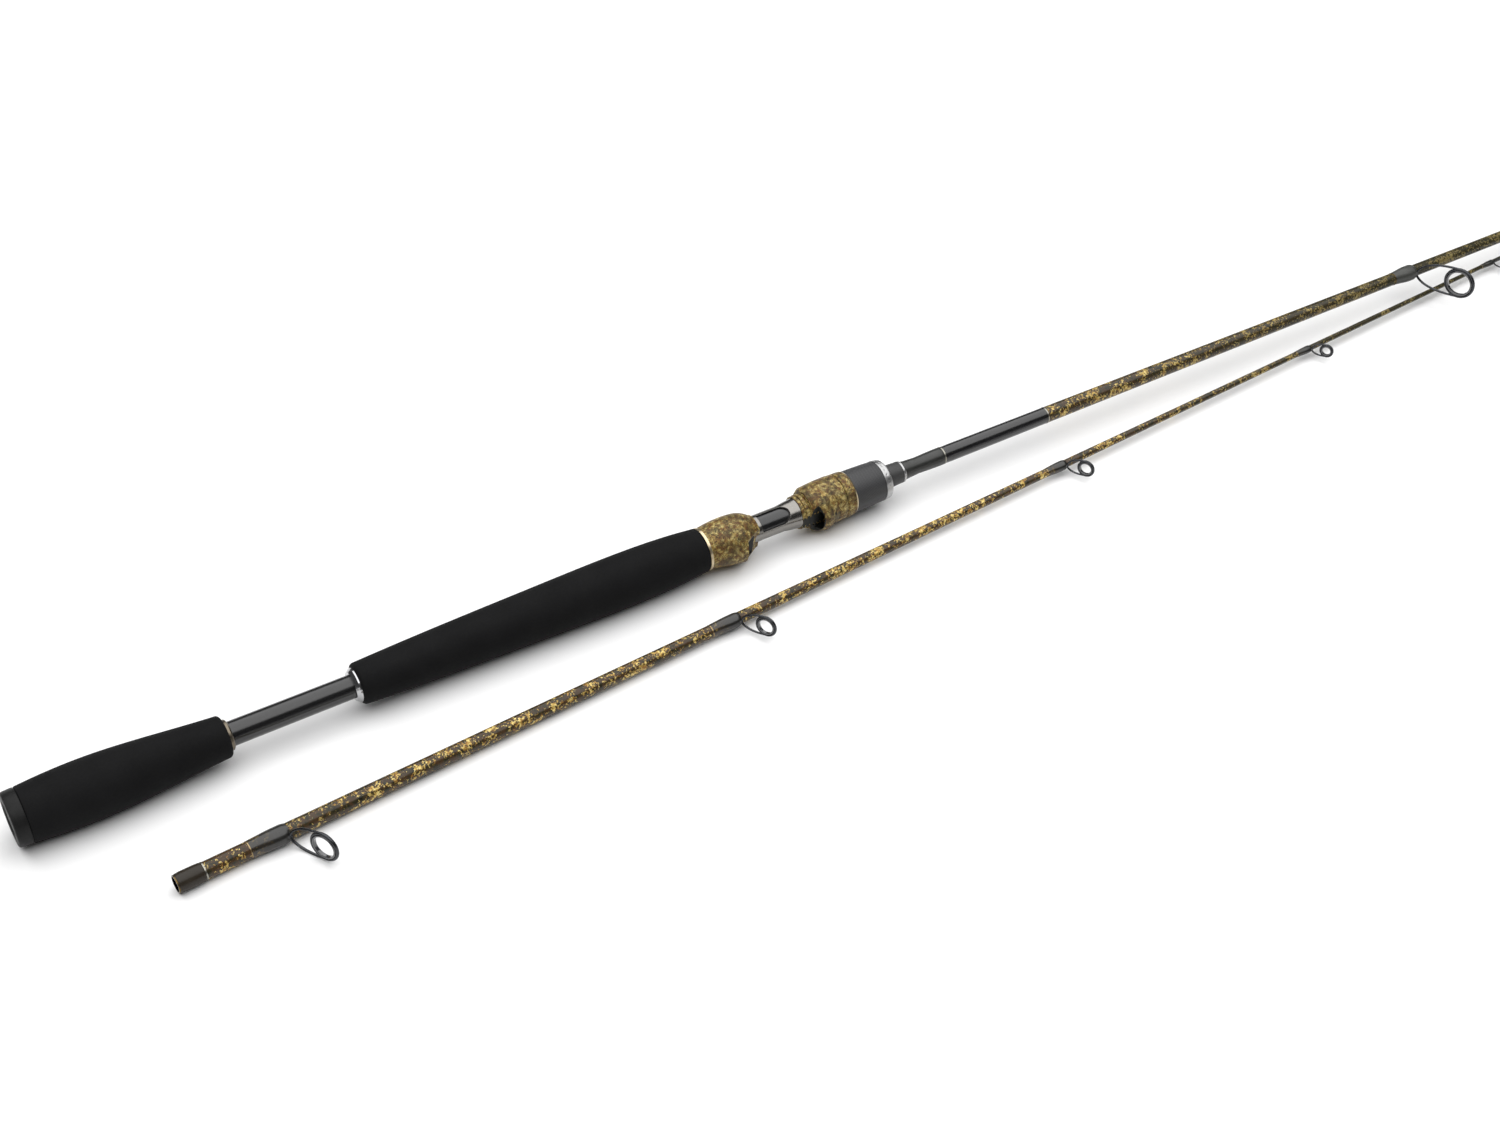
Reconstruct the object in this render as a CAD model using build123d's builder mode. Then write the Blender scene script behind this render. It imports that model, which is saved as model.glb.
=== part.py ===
from build123d import *
import os
from math import cos, radians, sin, sqrt

# Two-piece spinning rod, lying with its tip section beside its butt section.
# Millimetres. +X runs from the butt cap to the tip, +Z is up, and the origin is the
# centre of the butt cap's end face, on the butt section's axis.
os.makedirs("parts", exist_ok=True)

# ---------------------------------------------------------------- driving dimensions
BUTT_LENGTH = 1257.0  # butt section, cap face to the end of its ferrule spigot
TIP_LENGTH = 1252.0  # tip section's blank, ferrule mouth to the end of the blank
FERRULE_DEPTH = 75.0  # how far the spigot goes into the tip section
SPIGOT_RADIUS = 3.48
SOCKET_RADIUS = 3.52
BUTT_GUIDE_SIDE = 8.0  # degrees that the guides' side stands above the level -Y side
SEAT_SIDE = -10.0  # the same for the reel seat's foot side
TIP_GUIDE_SIDE = 10.0
TIP_START = (55.2, -69.5, -10.9)  # centre of the ferrule mouth, beside the rear grip
TIP_HEADING = 3.8  # degrees that the tip section is turned towards the butt section
GUIDE_LEAN = 25.0  # degrees that each guide frame leans towards the tip
STRIPPER_LEAN = 19.0  # the same for the stripper guide

CAP_LENGTH = 7.0
REAR_GRIP_END = 108.8
FORE_GRIP_START = 178.4
FORE_GRIP_END = 381.5
SEAT_START = 383.0
FRAME_RADIUS = 7.5  # outside of the skeleton frame's straight stretch
FRAME_BORE = 6.7
FRAME_END = 442.6
BARREL_END = 500.7
BARREL_RADIUS = 10.05  # crest of the barrel's thread
BARREL_BORE = 7.0
BED = 8.8  # height of the flat bed that the reel foot lies on, from the axis
HOOD_TRAVEL = 10.0  # rearward travel of the sliding hood
RUNNING_FIT = 0.08  # radial clearance of the hood and the nut on the barrel
KEY_WIDTH = 3.0  # keyway along the barrel's spine, which stops the hood from turning
KEY_DEPTH = 1.3
KEY_PLAY = 0.15
KEY_START = FRAME_END + HOOD_TRAVEL + 7.4  # stays in its keyway over the hood's travel
POCKET_WIDTH = 13.4  # hood pocket for the reel foot
POCKET_ROOF = 13.85  # its roof, from the axis
CUSHION = 0.3  # thickness of the pocket's lining
ARCH_RADIUS = 13.2  # outside of each hood's arch over the foot
ARCH_OFFSET = 2.4  # how far the arch's centre stands off the axis
HOOD_START = 448.2
HOOD_MOUTH = 451.6  # where the hood's steep mouth rises from the bed
HOOD_LIP = 456.4  # where the arch is highest
HOOD_END = 470.0
NUT_START = 470.6
NUT_END = 502.0
NUT_CORE_RADIUS = 11.3

# outer radius of each blank along its section
BUTT_SKIN = [
    (CAP_LENGTH, 6.5),
    (115.0, 6.5),
    (383.0, 5.75),
    (514.8, 4.9),
    (525.0, 4.45),
    (533.0, 4.75),
    (548.0, 5.12),
    (810.0, 4.2),
    (970.0, 3.75),
    (BUTT_LENGTH - FERRULE_DEPTH, SPIGOT_RADIUS),
    (BUTT_LENGTH, SPIGOT_RADIUS),
]
TIP_SKIN = [
    (0.0, 4.55),
    (60.0, 4.43),
    (300.0, 3.55),
    (600.0, 2.2),
    (900.0, 1.38),
    (TIP_LENGTH, 0.8),
]
BUTT_WALL = 1.0
TIP_WALL = 0.75
TIP_HOLLOW_END = 700.0  # the tip blank is solid beyond this

# guides of the tip section: name, outside of the hoop, ring centre's distance from the
# ferrule mouth, ring centre's height over the blank's axis, foot length
TIP_GUIDES = [
    ("tip_guide_1", 16.9, 66.5, 22.8, 19.0),
    ("tip_guide_2", 12.6, 328.5, 16.6, 17.0),
    ("tip_guide_3", 10.6, 559.0, 12.6, 13.0),
    ("tip_guide_4", 8.9, 761.5, 9.9, 11.0),
    ("tip_guide_5", 7.6, 933.0, 9.0, 10.0),
    ("tip_guide_6", 6.4, 1050.0, 7.8, 9.0),
    ("tip_guide_7", 6.4, 1155.0, 7.4, 9.0),
]
STRIPPER = ("stripper", 20.4, 924.6, 30.6, 17.0)


# ---------------------------------------------------------------- shared geometry
def rod_line(start, heading, guide_side):
    """Plane of a section: x along the rod, y towards the guides, from its tail's centre."""
    level = radians(heading)
    rise = radians(guide_side)
    along = Vector(cos(level), sin(level), 0)
    side = Vector(sin(level), -cos(level), 0)
    towards_guides = side * cos(rise) + Vector(0, 0, 1) * sin(rise)
    return Plane(origin=start, x_dir=along, z_dir=along.cross(towards_guides))


BUTT = rod_line((0, 0, 0), 0, BUTT_GUIDE_SIDE)
SEAT = rod_line((0, 0, 0), 0, SEAT_SIDE)
TIP = rod_line(TIP_START, TIP_HEADING, TIP_GUIDE_SIDE)


def axis_of(line):
    return Axis(line.origin, line.x_dir)


def station(line, distance):
    """Plane across the rod at a distance: x towards the guides, normal along the rod."""
    centre = line.from_local_coords((distance, 0, 0))
    return Plane(origin=centre, x_dir=line.y_dir, z_dir=line.x_dir)


def radius_at(skin, distance):
    """Outer radius of a blank at a distance from its tail."""
    for (x0, r0), (x1, r1) in zip(skin, skin[1:]):
        if distance <= x1:
            return r0 + (r1 - r0) * (distance - x0) / (x1 - x0)
    return skin[-1][1]


def seat_on(skin, start, end):
    """Points that follow a blank's surface from start to end."""
    inner = [(x, r) for x, r in skin if start < x < end]
    return [(start, radius_at(skin, start)), *inner, (end, radius_at(skin, end))]


def turned(line, outline):
    """A solid of revolution about a section's axis, from (distance, radius) points."""
    with BuildPart() as piece:
        with BuildSketch(line):
            with BuildLine():
                Polyline(*outline, close=True)
            make_face()
        revolve(axis=axis_of(line))
    return piece


def sleeve(line, skin, start, end, outside):
    """A turned piece that sits on a blank; outside lists its points from end to start."""
    return turned(line, [*seat_on(skin, start, end), *outside])


def save(piece, label):
    piece.part.label = label
    export_step(piece.part, f"parts/{label}.step")


# ---------------------------------------------------------------- butt section: handle
with BuildPart() as butt_cap:
    with BuildSketch(station(BUTT, 0)):
        Circle(14.3)
    extrude(amount=CAP_LENGTH)
    fillet(butt_cap.edges().sort_by(Axis.X)[0], radius=1.8)
    fillet(butt_cap.edges().sort_by(Axis.X)[-1], radius=0.5)
    with BuildSketch(station(BUTT, CAP_LENGTH)):
        Circle(BUTT_SKIN[0][1] - BUTT_WALL)
    extrude(amount=12.0)
save(butt_cap, "butt_cap")

butt_core = turned(BUTT, [(CAP_LENGTH, 0), *BUTT_SKIN, (BUTT_LENGTH, 0)])
butt_bore = [(x, r - BUTT_WALL) for x, r in reversed(BUTT_SKIN)]
butt_blank = turned(BUTT, [*BUTT_SKIN, *butt_bore])
save(butt_blank, "butt_blank")

with BuildPart() as rear_grip:
    with BuildSketch(BUTT):
        with BuildLine():
            grip_top = Spline(
                (CAP_LENGTH + 0.9, 14.5),
                (20.0, 15.4),
                (42.0, 15.85),
                (74.0, 13.85),
                (REAR_GRIP_END - 2.5, 11.1),
            )
            ThreePointArc(grip_top @ 0, (CAP_LENGTH + 0.25, 14.2), (CAP_LENGTH, 13.8))
            Polyline(
                (CAP_LENGTH, 13.8),
                (CAP_LENGTH, 6.5),
                (REAR_GRIP_END, 6.5),
                (REAR_GRIP_END, 8.6),
            )
            ThreePointArc(
                (REAR_GRIP_END, 8.6),
                (REAR_GRIP_END - 0.65, 10.4),
                grip_top @ 1,
            )
        make_face()
    revolve(axis=axis_of(BUTT))
save(rear_grip, "rear_grip")

rear_grip_check = sleeve(
    BUTT,
    BUTT_SKIN,
    REAR_GRIP_END,
    REAR_GRIP_END + 2.0,
    [(REAR_GRIP_END + 2.0, 7.4), (REAR_GRIP_END + 1.3, 8.15), (REAR_GRIP_END, 8.15)],
)
save(rear_grip_check, "rear_grip_check")

CHECK_START = FORE_GRIP_START - 2.6
fore_grip_check = sleeve(
    BUTT,
    BUTT_SKIN,
    CHECK_START,
    FORE_GRIP_START,
    [
        (FORE_GRIP_START, 9.3),
        (FORE_GRIP_START - 0.8, 9.3),
        (CHECK_START + 1.0, 8.6),
        (CHECK_START, 7.8),
    ],
)
save(fore_grip_check, "fore_grip_check")

with BuildPart() as fore_grip:
    with BuildSketch(BUTT):
        with BuildLine():
            fore_top = Spline(
                (FORE_GRIP_START + 2.4, 11.25),
                (230.0, 12.95),
                (285.0, 14.1),
                (331.0, 14.75),
                (366.0, 13.7),
                (FORE_GRIP_END - 1.4, 12.45),
            )
            fore_seat = Polyline(
                (FORE_GRIP_START, 9.0),
                *seat_on(BUTT_SKIN, FORE_GRIP_START, FORE_GRIP_END),
                (FORE_GRIP_END, 11.7),
            )
            ThreePointArc(
                fore_seat @ 0,
                (FORE_GRIP_START + 0.75, 10.6),
                fore_top @ 0,
            )
            ThreePointArc(
                fore_top @ 1,
                (FORE_GRIP_END - 0.35, 12.2),
                fore_seat @ 1,
            )
        make_face()
    revolve(axis=axis_of(BUTT))
save(fore_grip, "fore_grip")

seat_rear_ring = sleeve(
    BUTT,
    BUTT_SKIN,
    FORE_GRIP_END,
    SEAT_START,
    [(SEAT_START, 12.3), (FORE_GRIP_END, 12.3)],
)
save(seat_rear_ring, "seat_rear_ring")


# ---------------------------------------------------------------- butt section: reel seat
POCKET_END = 397.2  # closed end of the rear pocket
REAR_MOUTH = 403.5  # where the rear hood's arch is highest
REAR_HOOD_END = 414.8
REAR_CUSHION = 5.9


def pocket_outline(inset):
    """Reel-foot pocket across the seat, lying on the bed, with its roof corners rounded."""
    roof = POCKET_ROOF - inset
    with BuildSketch() as outline:
        with Locations(((BED + roof) / 2, 0)):
            Rectangle(roof - BED, POCKET_WIDTH - 2 * inset)
        fillet(outline.vertices().group_by(Axis.X)[-1], radius=3.5 - inset)
    return outline.sketch


with BuildPart() as rear_hood:
    with BuildSketch(SEAT):
        with BuildLine():
            hood_top = Spline((SEAT_START, 11.8), (392.0, 12.9), (400.0, 13.1), (406.0, 12.6))
            ThreePointArc(hood_top @ 1, (411.3, 10.8), (REAR_HOOD_END, 8.3))
            Polyline(
                (REAR_HOOD_END, 8.3),
                (REAR_HOOD_END, FRAME_RADIUS),
                (SEAT_START, FRAME_RADIUS),
                hood_top @ 0,
            )
        make_face()
    revolve(axis=axis_of(SEAT))
    with BuildSketch(station(SEAT, 386.0)):
        Circle(12.2)
    with BuildSketch(station(SEAT, 395.0)):
        with Locations((1.3, 0)):
            Circle(12.9)
    with BuildSketch(station(SEAT, REAR_MOUTH)):
        with Locations((ARCH_OFFSET, 0)):
            Circle(ARCH_RADIUS)
    loft()
    with BuildSketch(station(SEAT, REAR_MOUTH)):
        with Locations((ARCH_OFFSET, 0)):
            Circle(ARCH_RADIUS)
    with BuildSketch(station(SEAT, REAR_HOOD_END)):
        with Locations((0.6, 0)):
            Circle(9.2)
    loft()
    with BuildSketch(SEAT):
        with BuildLine():
            Polyline(
                (REAR_MOUTH - 0.6, 17.0),
                (REAR_MOUTH + 0.2, 12.3),
                (REAR_HOOD_END - 1.4, 6.9),
                (REAR_HOOD_END + 1, 6.9),
                (REAR_HOOD_END + 1, 17.0),
                close=True,
            )
        make_face()
    extrude(amount=20.0, both=True, mode=Mode.SUBTRACT)
    with BuildSketch(station(SEAT, POCKET_END)):
        add(pocket_outline(0))
    extrude(amount=REAR_HOOD_END - POCKET_END + 1, mode=Mode.SUBTRACT)
    with BuildSketch(station(SEAT, SEAT_START)):
        Circle(FRAME_RADIUS)
    extrude(amount=REAR_HOOD_END - SEAT_START, mode=Mode.SUBTRACT)
save(rear_hood, "rear_hood")

with BuildPart() as rear_hood_cushion:
    with BuildSketch(station(SEAT, POCKET_END)):
        add(pocket_outline(0))
    extrude(amount=REAR_CUSHION)
    with BuildSketch(station(SEAT, POCKET_END + CUSHION)):
        add(pocket_outline(CUSHION))
    extrude(amount=REAR_CUSHION, mode=Mode.SUBTRACT)
save(rear_hood_cushion, "rear_hood_cushion")

WINDOW_START = 417.6
WINDOW_FRONT = 436.4
WINDOW_HALF = 5.2
WINDOW_SIDE = 68.0  # degrees from the guides' side to the middle of each window
with BuildPart() as seat_frame:
    with BuildSketch(SEAT):
        with BuildLine():
            flare = Spline(
                (FRAME_END - 11.5, FRAME_RADIUS),
                (FRAME_END - 5.5, 8.1),
                (FRAME_END, BED),
                tangents=((1, 0), (1, 0.25)),
            )
            Polyline(
                flare @ 1,
                (FRAME_END, FRAME_BORE),
                (SEAT_START, FRAME_BORE),
                (SEAT_START, FRAME_RADIUS),
                flare @ 0,
            )
        make_face()
    revolve(axis=axis_of(SEAT))
    for turn in (-WINDOW_SIDE, WINDOW_SIDE):
        outwards = SEAT.y_dir.rotate(axis_of(SEAT), turn)
        with BuildSketch(Plane(origin=SEAT.origin, x_dir=SEAT.x_dir, z_dir=outwards)):
            with Locations(((WINDOW_START + WINDOW_FRONT - WINDOW_HALF) / 2, 0)):
                Rectangle(WINDOW_FRONT - WINDOW_HALF - WINDOW_START, 2 * WINDOW_HALF)
            with Locations((WINDOW_FRONT - WINDOW_HALF, 0)):
                Circle(WINDOW_HALF)
        extrude(amount=12.0, mode=Mode.SUBTRACT)
save(seat_frame, "seat_frame")

with BuildPart() as threaded_barrel:
    with BuildSketch(SEAT):
        with BuildLine():
            Polyline(
                (FRAME_END, 9.6),
                (FRAME_END + 1.9, 9.6),
                (FRAME_END + 2.1, 9.25),
                (FRAME_END + 2.5, 9.25),
                (FRAME_END + 2.7, 9.85),
                (FRAME_END + 4.2, 9.85),
                (FRAME_END + 4.4, 9.4),
                (FRAME_END + 5.0, 9.4),
                (FRAME_END + 5.3, BARREL_RADIUS),
                (BARREL_END - 0.6, BARREL_RADIUS),
                (BARREL_END, 9.5),
                (BARREL_END, BARREL_BORE),
                (FRAME_END, BARREL_BORE),
                close=True,
            )
        make_face()
    revolve(axis=axis_of(SEAT))
    with BuildSketch(station(SEAT, FRAME_END)):
        with Locations((BED + 2, 0)):
            Rectangle(4, POCKET_WIDTH)
        with Locations((-BARREL_RADIUS, 0)):
            Rectangle(2 * KEY_DEPTH, KEY_WIDTH)
    extrude(amount=BARREL_END - FRAME_END, mode=Mode.SUBTRACT)
save(threaded_barrel, "threaded_barrel")

SLEEVE_START = SEAT_START + 2.0
SLEEVE_END = FRAME_END - 0.6
seat_sleeve = sleeve(
    SEAT, BUTT_SKIN, SLEEVE_START, SLEEVE_END, [(SLEEVE_END, FRAME_BORE), (SLEEVE_START, FRAME_BORE)]
)
save(seat_sleeve, "seat_sleeve")

ARBOR_START = FRAME_END + 1.5
ARBOR_END = BARREL_END - 2.0
front_arbor = sleeve(
    SEAT, BUTT_SKIN, ARBOR_START, ARBOR_END, [(ARBOR_END, BARREL_BORE), (ARBOR_START, BARREL_BORE)]
)
save(front_arbor, "front_arbor")

CUSHION_START = HOOD_LIP + 0.6
CUSHION_LENGTH = 4.3

# the sliding hood runs on the barrel's crest, and its key runs in the barrel's keyway
HOOD_BORE = BARREL_RADIUS + RUNNING_FIT
with BuildPart() as sliding_hood:
    with BuildSketch(SEAT):
        with BuildLine():
            Polyline(
                (HOOD_START, HOOD_BORE),
                (HOOD_START, 11.2),
                (HOOD_START + 1.8, 12.5),
                (459.5, 13.2),
                (467.0, 13.3),
                (HOOD_END, 13.05),
                (HOOD_END, HOOD_BORE),
                close=True,
            )
        make_face()
    revolve(axis=axis_of(SEAT))
    with BuildSketch(station(SEAT, HOOD_START)):
        Circle(11.2)
    with BuildSketch(station(SEAT, HOOD_START + 1.8)):
        with Locations((0.4, 0)):
            Circle(12.5)
    with BuildSketch(station(SEAT, HOOD_LIP)):
        with Locations((ARCH_OFFSET, 0)):
            Circle(ARCH_RADIUS)
    with BuildSketch(station(SEAT, 464.0)):
        Circle(13.2)
    loft(ruled=True)
    with BuildSketch(SEAT):
        with BuildLine():
            Polyline(
                (HOOD_START - 1, BED),
                (HOOD_MOUTH, BED),
                (HOOD_MOUTH + 2.6, ARCH_OFFSET + ARCH_RADIUS),
                (HOOD_MOUTH + 2.6, 18.0),
                (HOOD_START - 1, 18.0),
                close=True,
            )
        make_face()
    extrude(amount=20.0, both=True, mode=Mode.SUBTRACT)
    with BuildSketch(station(SEAT, HOOD_START - 1)):
        add(pocket_outline(0))
    extrude(amount=CUSHION_START + CUSHION_LENGTH - HOOD_START + 1, mode=Mode.SUBTRACT)
    with BuildSketch(station(SEAT, HOOD_START - 1)):
        Circle(HOOD_BORE)
    extrude(amount=HOOD_END - HOOD_START + 2, mode=Mode.SUBTRACT)
    with BuildSketch(station(SEAT, KEY_START)):
        with Locations((-BARREL_RADIUS, 0)):
            Rectangle(2 * (KEY_DEPTH - KEY_PLAY), KEY_WIDTH - 2 * KEY_PLAY)
    extrude(amount=HOOD_END - KEY_START)
save(sliding_hood, "sliding_hood")

with BuildPart() as sliding_hood_cushion:
    with BuildSketch(station(SEAT, CUSHION_START)):
        add(pocket_outline(0))
        Circle(HOOD_BORE + 0.1, mode=Mode.SUBTRACT)
    extrude(amount=CUSHION_LENGTH)
    with BuildSketch(station(SEAT, CUSHION_START)):
        add(pocket_outline(CUSHION))
    extrude(amount=CUSHION_LENGTH - CUSHION, mode=Mode.SUBTRACT)
save(sliding_hood_cushion, "sliding_hood_cushion")

nut_core = turned(
    SEAT,
    [
        (NUT_START, HOOD_BORE),
        (NUT_END - 0.8, HOOD_BORE),
        (NUT_END - 0.8, NUT_CORE_RADIUS),
        (NUT_START, NUT_CORE_RADIUS),
    ],
)
save(nut_core, "nut_core")

NUT_TRIM = NUT_START + 5.6
NUT_GRIP_START = NUT_TRIM + 0.9
NUT_GRIP_END = 497.3
nut_collar = turned(
    SEAT,
    [
        (NUT_START, NUT_CORE_RADIUS),
        (NUT_TRIM, NUT_CORE_RADIUS),
        (NUT_TRIM, 12.9),
        (NUT_START + 0.4, 13.05),
        (NUT_START, 12.65),
    ],
)
save(nut_collar, "nut_collar")

nut_trim_ring = turned(
    SEAT,
    [
        (NUT_TRIM, NUT_CORE_RADIUS),
        (NUT_GRIP_START, NUT_CORE_RADIUS),
        (NUT_GRIP_START, 12.45),
        (NUT_TRIM, 12.85),
    ],
)
save(nut_trim_ring, "nut_trim_ring")

nut_grip = turned(
    SEAT,
    [
        (NUT_GRIP_START, NUT_CORE_RADIUS),
        (NUT_GRIP_END, NUT_CORE_RADIUS),
        (NUT_GRIP_END, 11.65),
        (487.0, 12.2),
        (NUT_GRIP_START, 12.3),
    ],
)
save(nut_grip, "nut_grip")

with BuildPart() as nut_front_ring:
    with BuildSketch(SEAT):
        with BuildLine():
            ring_face = Polyline(
                (NUT_END, 10.6),
                (NUT_END, HOOD_BORE),
                (NUT_END - 0.8, HOOD_BORE),
                (NUT_END - 0.8, NUT_CORE_RADIUS),
                (NUT_GRIP_END, NUT_CORE_RADIUS),
                (NUT_GRIP_END, 11.85),
                (NUT_END - 1.6, 11.5),
            )
            ThreePointArc(ring_face @ 1, (NUT_END - 0.45, 11.15), ring_face @ 0)
        make_face()
    revolve(axis=axis_of(SEAT))
save(nut_front_ring, "nut_front_ring")

COLLAR_END = 512.8
front_collar = sleeve(
    BUTT, BUTT_SKIN, BARREL_END, COLLAR_END, [(COLLAR_END, 6.3), (BARREL_END, 6.95)]
)
save(front_collar, "front_collar")

CHECK_END = 514.8
winding_check = sleeve(
    BUTT,
    BUTT_SKIN,
    COLLAR_END,
    CHECK_END,
    [
        (CHECK_END, 5.65),
        (CHECK_END - 0.4, 6.1),
        (CHECK_END - 0.9, 6.35),
        (COLLAR_END, 6.4),
    ],
)
save(winding_check, "winding_check")


def thread_wrap(line, skin, start, end, build_up):
    """Thread wrapping on a blank under a coat of varnish that thins out at both ends."""
    return sleeve(
        line,
        skin,
        start,
        end,
        [
            (end, radius_at(skin, end) + 0.05),
            (end - 1.2, radius_at(skin, end) + build_up),
            (start + 1.2, radius_at(skin, start) + build_up),
            (start, radius_at(skin, start) + 0.05),
        ],
    )


def band(line, skin, start, width, build_up):
    """A thin metal-thread trim band."""
    end = start + width
    return sleeve(
        line,
        skin,
        start,
        end,
        [(end, radius_at(skin, end) + build_up), (start, radius_at(skin, start) + build_up)],
    )


SEAT_WRAP_END = 542.0
seat_wrap = sleeve(
    BUTT,
    BUTT_SKIN,
    CHECK_END,
    SEAT_WRAP_END,
    [
        (SEAT_WRAP_END, radius_at(BUTT_SKIN, SEAT_WRAP_END) + 0.1),
        (SEAT_WRAP_END - 1.2, 5.32),
        (531.0, 5.05),
        (525.0, 4.85),
        (519.5, 5.2),
        (CHECK_END, 5.55),
    ],
)
save(seat_wrap, "seat_wrap")
seat_wrap_band = band(BUTT, BUTT_SKIN, SEAT_WRAP_END, 0.8, 0.25)
save(seat_wrap_band, "seat_wrap_band")
blank_band = band(BUTT, BUTT_SKIN, 616.5, 0.8, 0.12)
save(blank_band, "blank_band")


# ---------------------------------------------------------------- guides
def lean_of(guide):
    return radians(STRIPPER_LEAN if guide is STRIPPER else GUIDE_LEAN)


def guide_base(guide, skin):
    """Slant height of a guide frame, and where it meets the blank."""
    name, hoop, distance, height, foot = guide
    lean = lean_of(guide)
    slant = (height - radius_at(skin, distance) - 0.35) / cos(lean)
    return slant, distance - slant * sin(lean)


def wire_of(hoop):
    """Thickness of a frame's wire, thicker on larger hoops."""
    return 0.75 + 0.042 * hoop


def foot_size(hoop):
    """Half-width of a frame's foot, and how far it rises off the blank."""
    return 0.6 * wire_of(hoop), 0.4 * wire_of(hoop)


def guide_plane(line, guide):
    """Plane of a hoop: x across the rod, y up the leaning frame, from the ring's centre."""
    name, hoop, distance, height, foot = guide
    lean = lean_of(guide)
    centre = line.from_local_coords((distance, height, 0))
    facing = line.x_dir * cos(lean) - line.y_dir * sin(lean)
    return Plane(origin=centre, x_dir=line.z_dir, z_dir=facing * -1)


def guide_frame(line, skin, core, guide):
    """One-foot frame: a hoop, two bowed legs that meet at the blank, and a foot on it."""
    name, hoop, distance, height, foot = guide
    slant, base = guide_base(guide, skin)
    wire = wire_of(hoop)
    outer = hoop / 2
    neck = 0.62 * wire
    with BuildPart() as frame:
        with BuildSketch(guide_plane(line, guide)):
            with BuildLine():
                CenterArc((0, 0), outer, 0, 180)
                right = TangentArc((outer, 0), (neck, -slant), tangent=(0, -1))
                left = TangentArc((-outer, 0), (-neck, -slant), tangent=(0, -1))
                Line(right @ 1, left @ 1)
            make_face()
            offset(amount=-wire, mode=Mode.SUBTRACT)
            Circle(outer)
            Circle(outer - wire, mode=Mode.SUBTRACT)
        extrude(amount=wire / 2, both=True)
        half_width, rise = foot_size(hoop)
        tail = base - foot + 1.0
        with BuildSketch(station(line, tail)):
            with Locations((radius_at(skin, tail), 0)):
                Rectangle(0.4, half_width)
        with BuildSketch(station(line, base + 0.4)):
            with Locations((radius_at(skin, base), 0)):
                Rectangle(2 * rise, 2 * half_width)
        loft()
        add(core.part, mode=Mode.SUBTRACT)
    return frame


def guide_ring(line, guide):
    """Ceramic ring that lines a hoop."""
    name, hoop, distance, height, foot = guide
    plane = guide_plane(line, guide)
    wire = wire_of(hoop)
    outer = hoop / 2 - wire
    thick = 0.55 + 0.035 * hoop
    with BuildPart() as ring:
        with BuildSketch(Plane(origin=plane.origin, x_dir=plane.y_dir, z_dir=plane.x_dir)):
            with Locations((outer - thick / 2, 0)):
                section = Rectangle(thick, 1.5 * wire)
            fillet(section.vertices(), radius=0.4 * thick)
        revolve(axis=Axis(plane.origin, plane.z_dir))
    return ring


def guide_wrap(line, skin, core, frame, guide):
    """Wrapping that holds a guide's foot, with a lobe over the foot."""
    name, hoop, distance, height, foot = guide
    slant, base = guide_base(guide, skin)
    half_width, rise = foot_size(hoop)
    start = base - foot - 1.5
    end = base - 0.7 * wire_of(hoop)
    build_up = 0.38
    lobe_radius = radius_at(skin, base) + 0.1
    cover = lobe_radius - sqrt((lobe_radius - 0.15) ** 2 - half_width**2)
    lift = radius_at(skin, base) + rise + cover - lobe_radius
    lobe = Plane(
        origin=line.from_local_coords((0, lift, 0)), x_dir=line.x_dir, z_dir=line.z_dir
    )
    with BuildPart() as wrap:
        with BuildSketch(line):
            with BuildLine():
                Polyline(
                    (start, 0),
                    (end, 0),
                    (end, radius_at(skin, end) + 0.1),
                    (end - 1.0, radius_at(skin, end) + build_up),
                    (start + 1.0, radius_at(skin, start) + build_up),
                    (start, radius_at(skin, start) + 0.1),
                    close=True,
                )
            make_face()
        revolve(axis=axis_of(line))
        with BuildSketch(lobe):
            with BuildLine():
                Polyline(
                    (start + 1.5, 0),
                    (end - 0.1, 0),
                    (end - 0.1, lobe_radius - 0.15),
                    (end - 1.0, lobe_radius),
                    (start + 1.5, radius_at(skin, start) + build_up - lift - 0.4),
                    close=True,
                )
            make_face()
        revolve(axis=axis_of(lobe))
        add(core.part, mode=Mode.SUBTRACT)
        add(frame.part, mode=Mode.SUBTRACT)
    return wrap


stripper_frame = guide_frame(BUTT, BUTT_SKIN, butt_core, STRIPPER)
save(stripper_frame, "stripper_frame")
stripper_ring = guide_ring(BUTT, STRIPPER)
save(stripper_ring, "stripper_ring")
stripper_wrap = guide_wrap(BUTT, BUTT_SKIN, butt_core, stripper_frame, STRIPPER)
save(stripper_wrap, "stripper_wrap")
stripper_band_start = guide_base(STRIPPER, BUTT_SKIN)[1] - STRIPPER[4] - 2.2
stripper_band = band(BUTT, BUTT_SKIN, stripper_band_start, 0.7, 0.12)
save(stripper_band, "stripper_band")


# ---------------------------------------------------------------- tip section
tip_core = turned(TIP, [(0, 0), *TIP_SKIN, (TIP_LENGTH, 0)])
hollow = [
    (x, r - TIP_WALL) for x, r in TIP_SKIN if FERRULE_DEPTH + 10 < x < TIP_HOLLOW_END
]
tip_blank = turned(
    TIP,
    [
        *TIP_SKIN,
        (TIP_LENGTH, 0),
        (TIP_HOLLOW_END, 0),
        (TIP_HOLLOW_END - 20.0, radius_at(TIP_SKIN, TIP_HOLLOW_END) - TIP_WALL),
        *reversed(hollow),
        (FERRULE_DEPTH + 8, 3.3),
        (FERRULE_DEPTH, SOCKET_RADIUS),
        (0, SOCKET_RADIUS),
    ],
)
save(tip_blank, "tip_blank")

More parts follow.
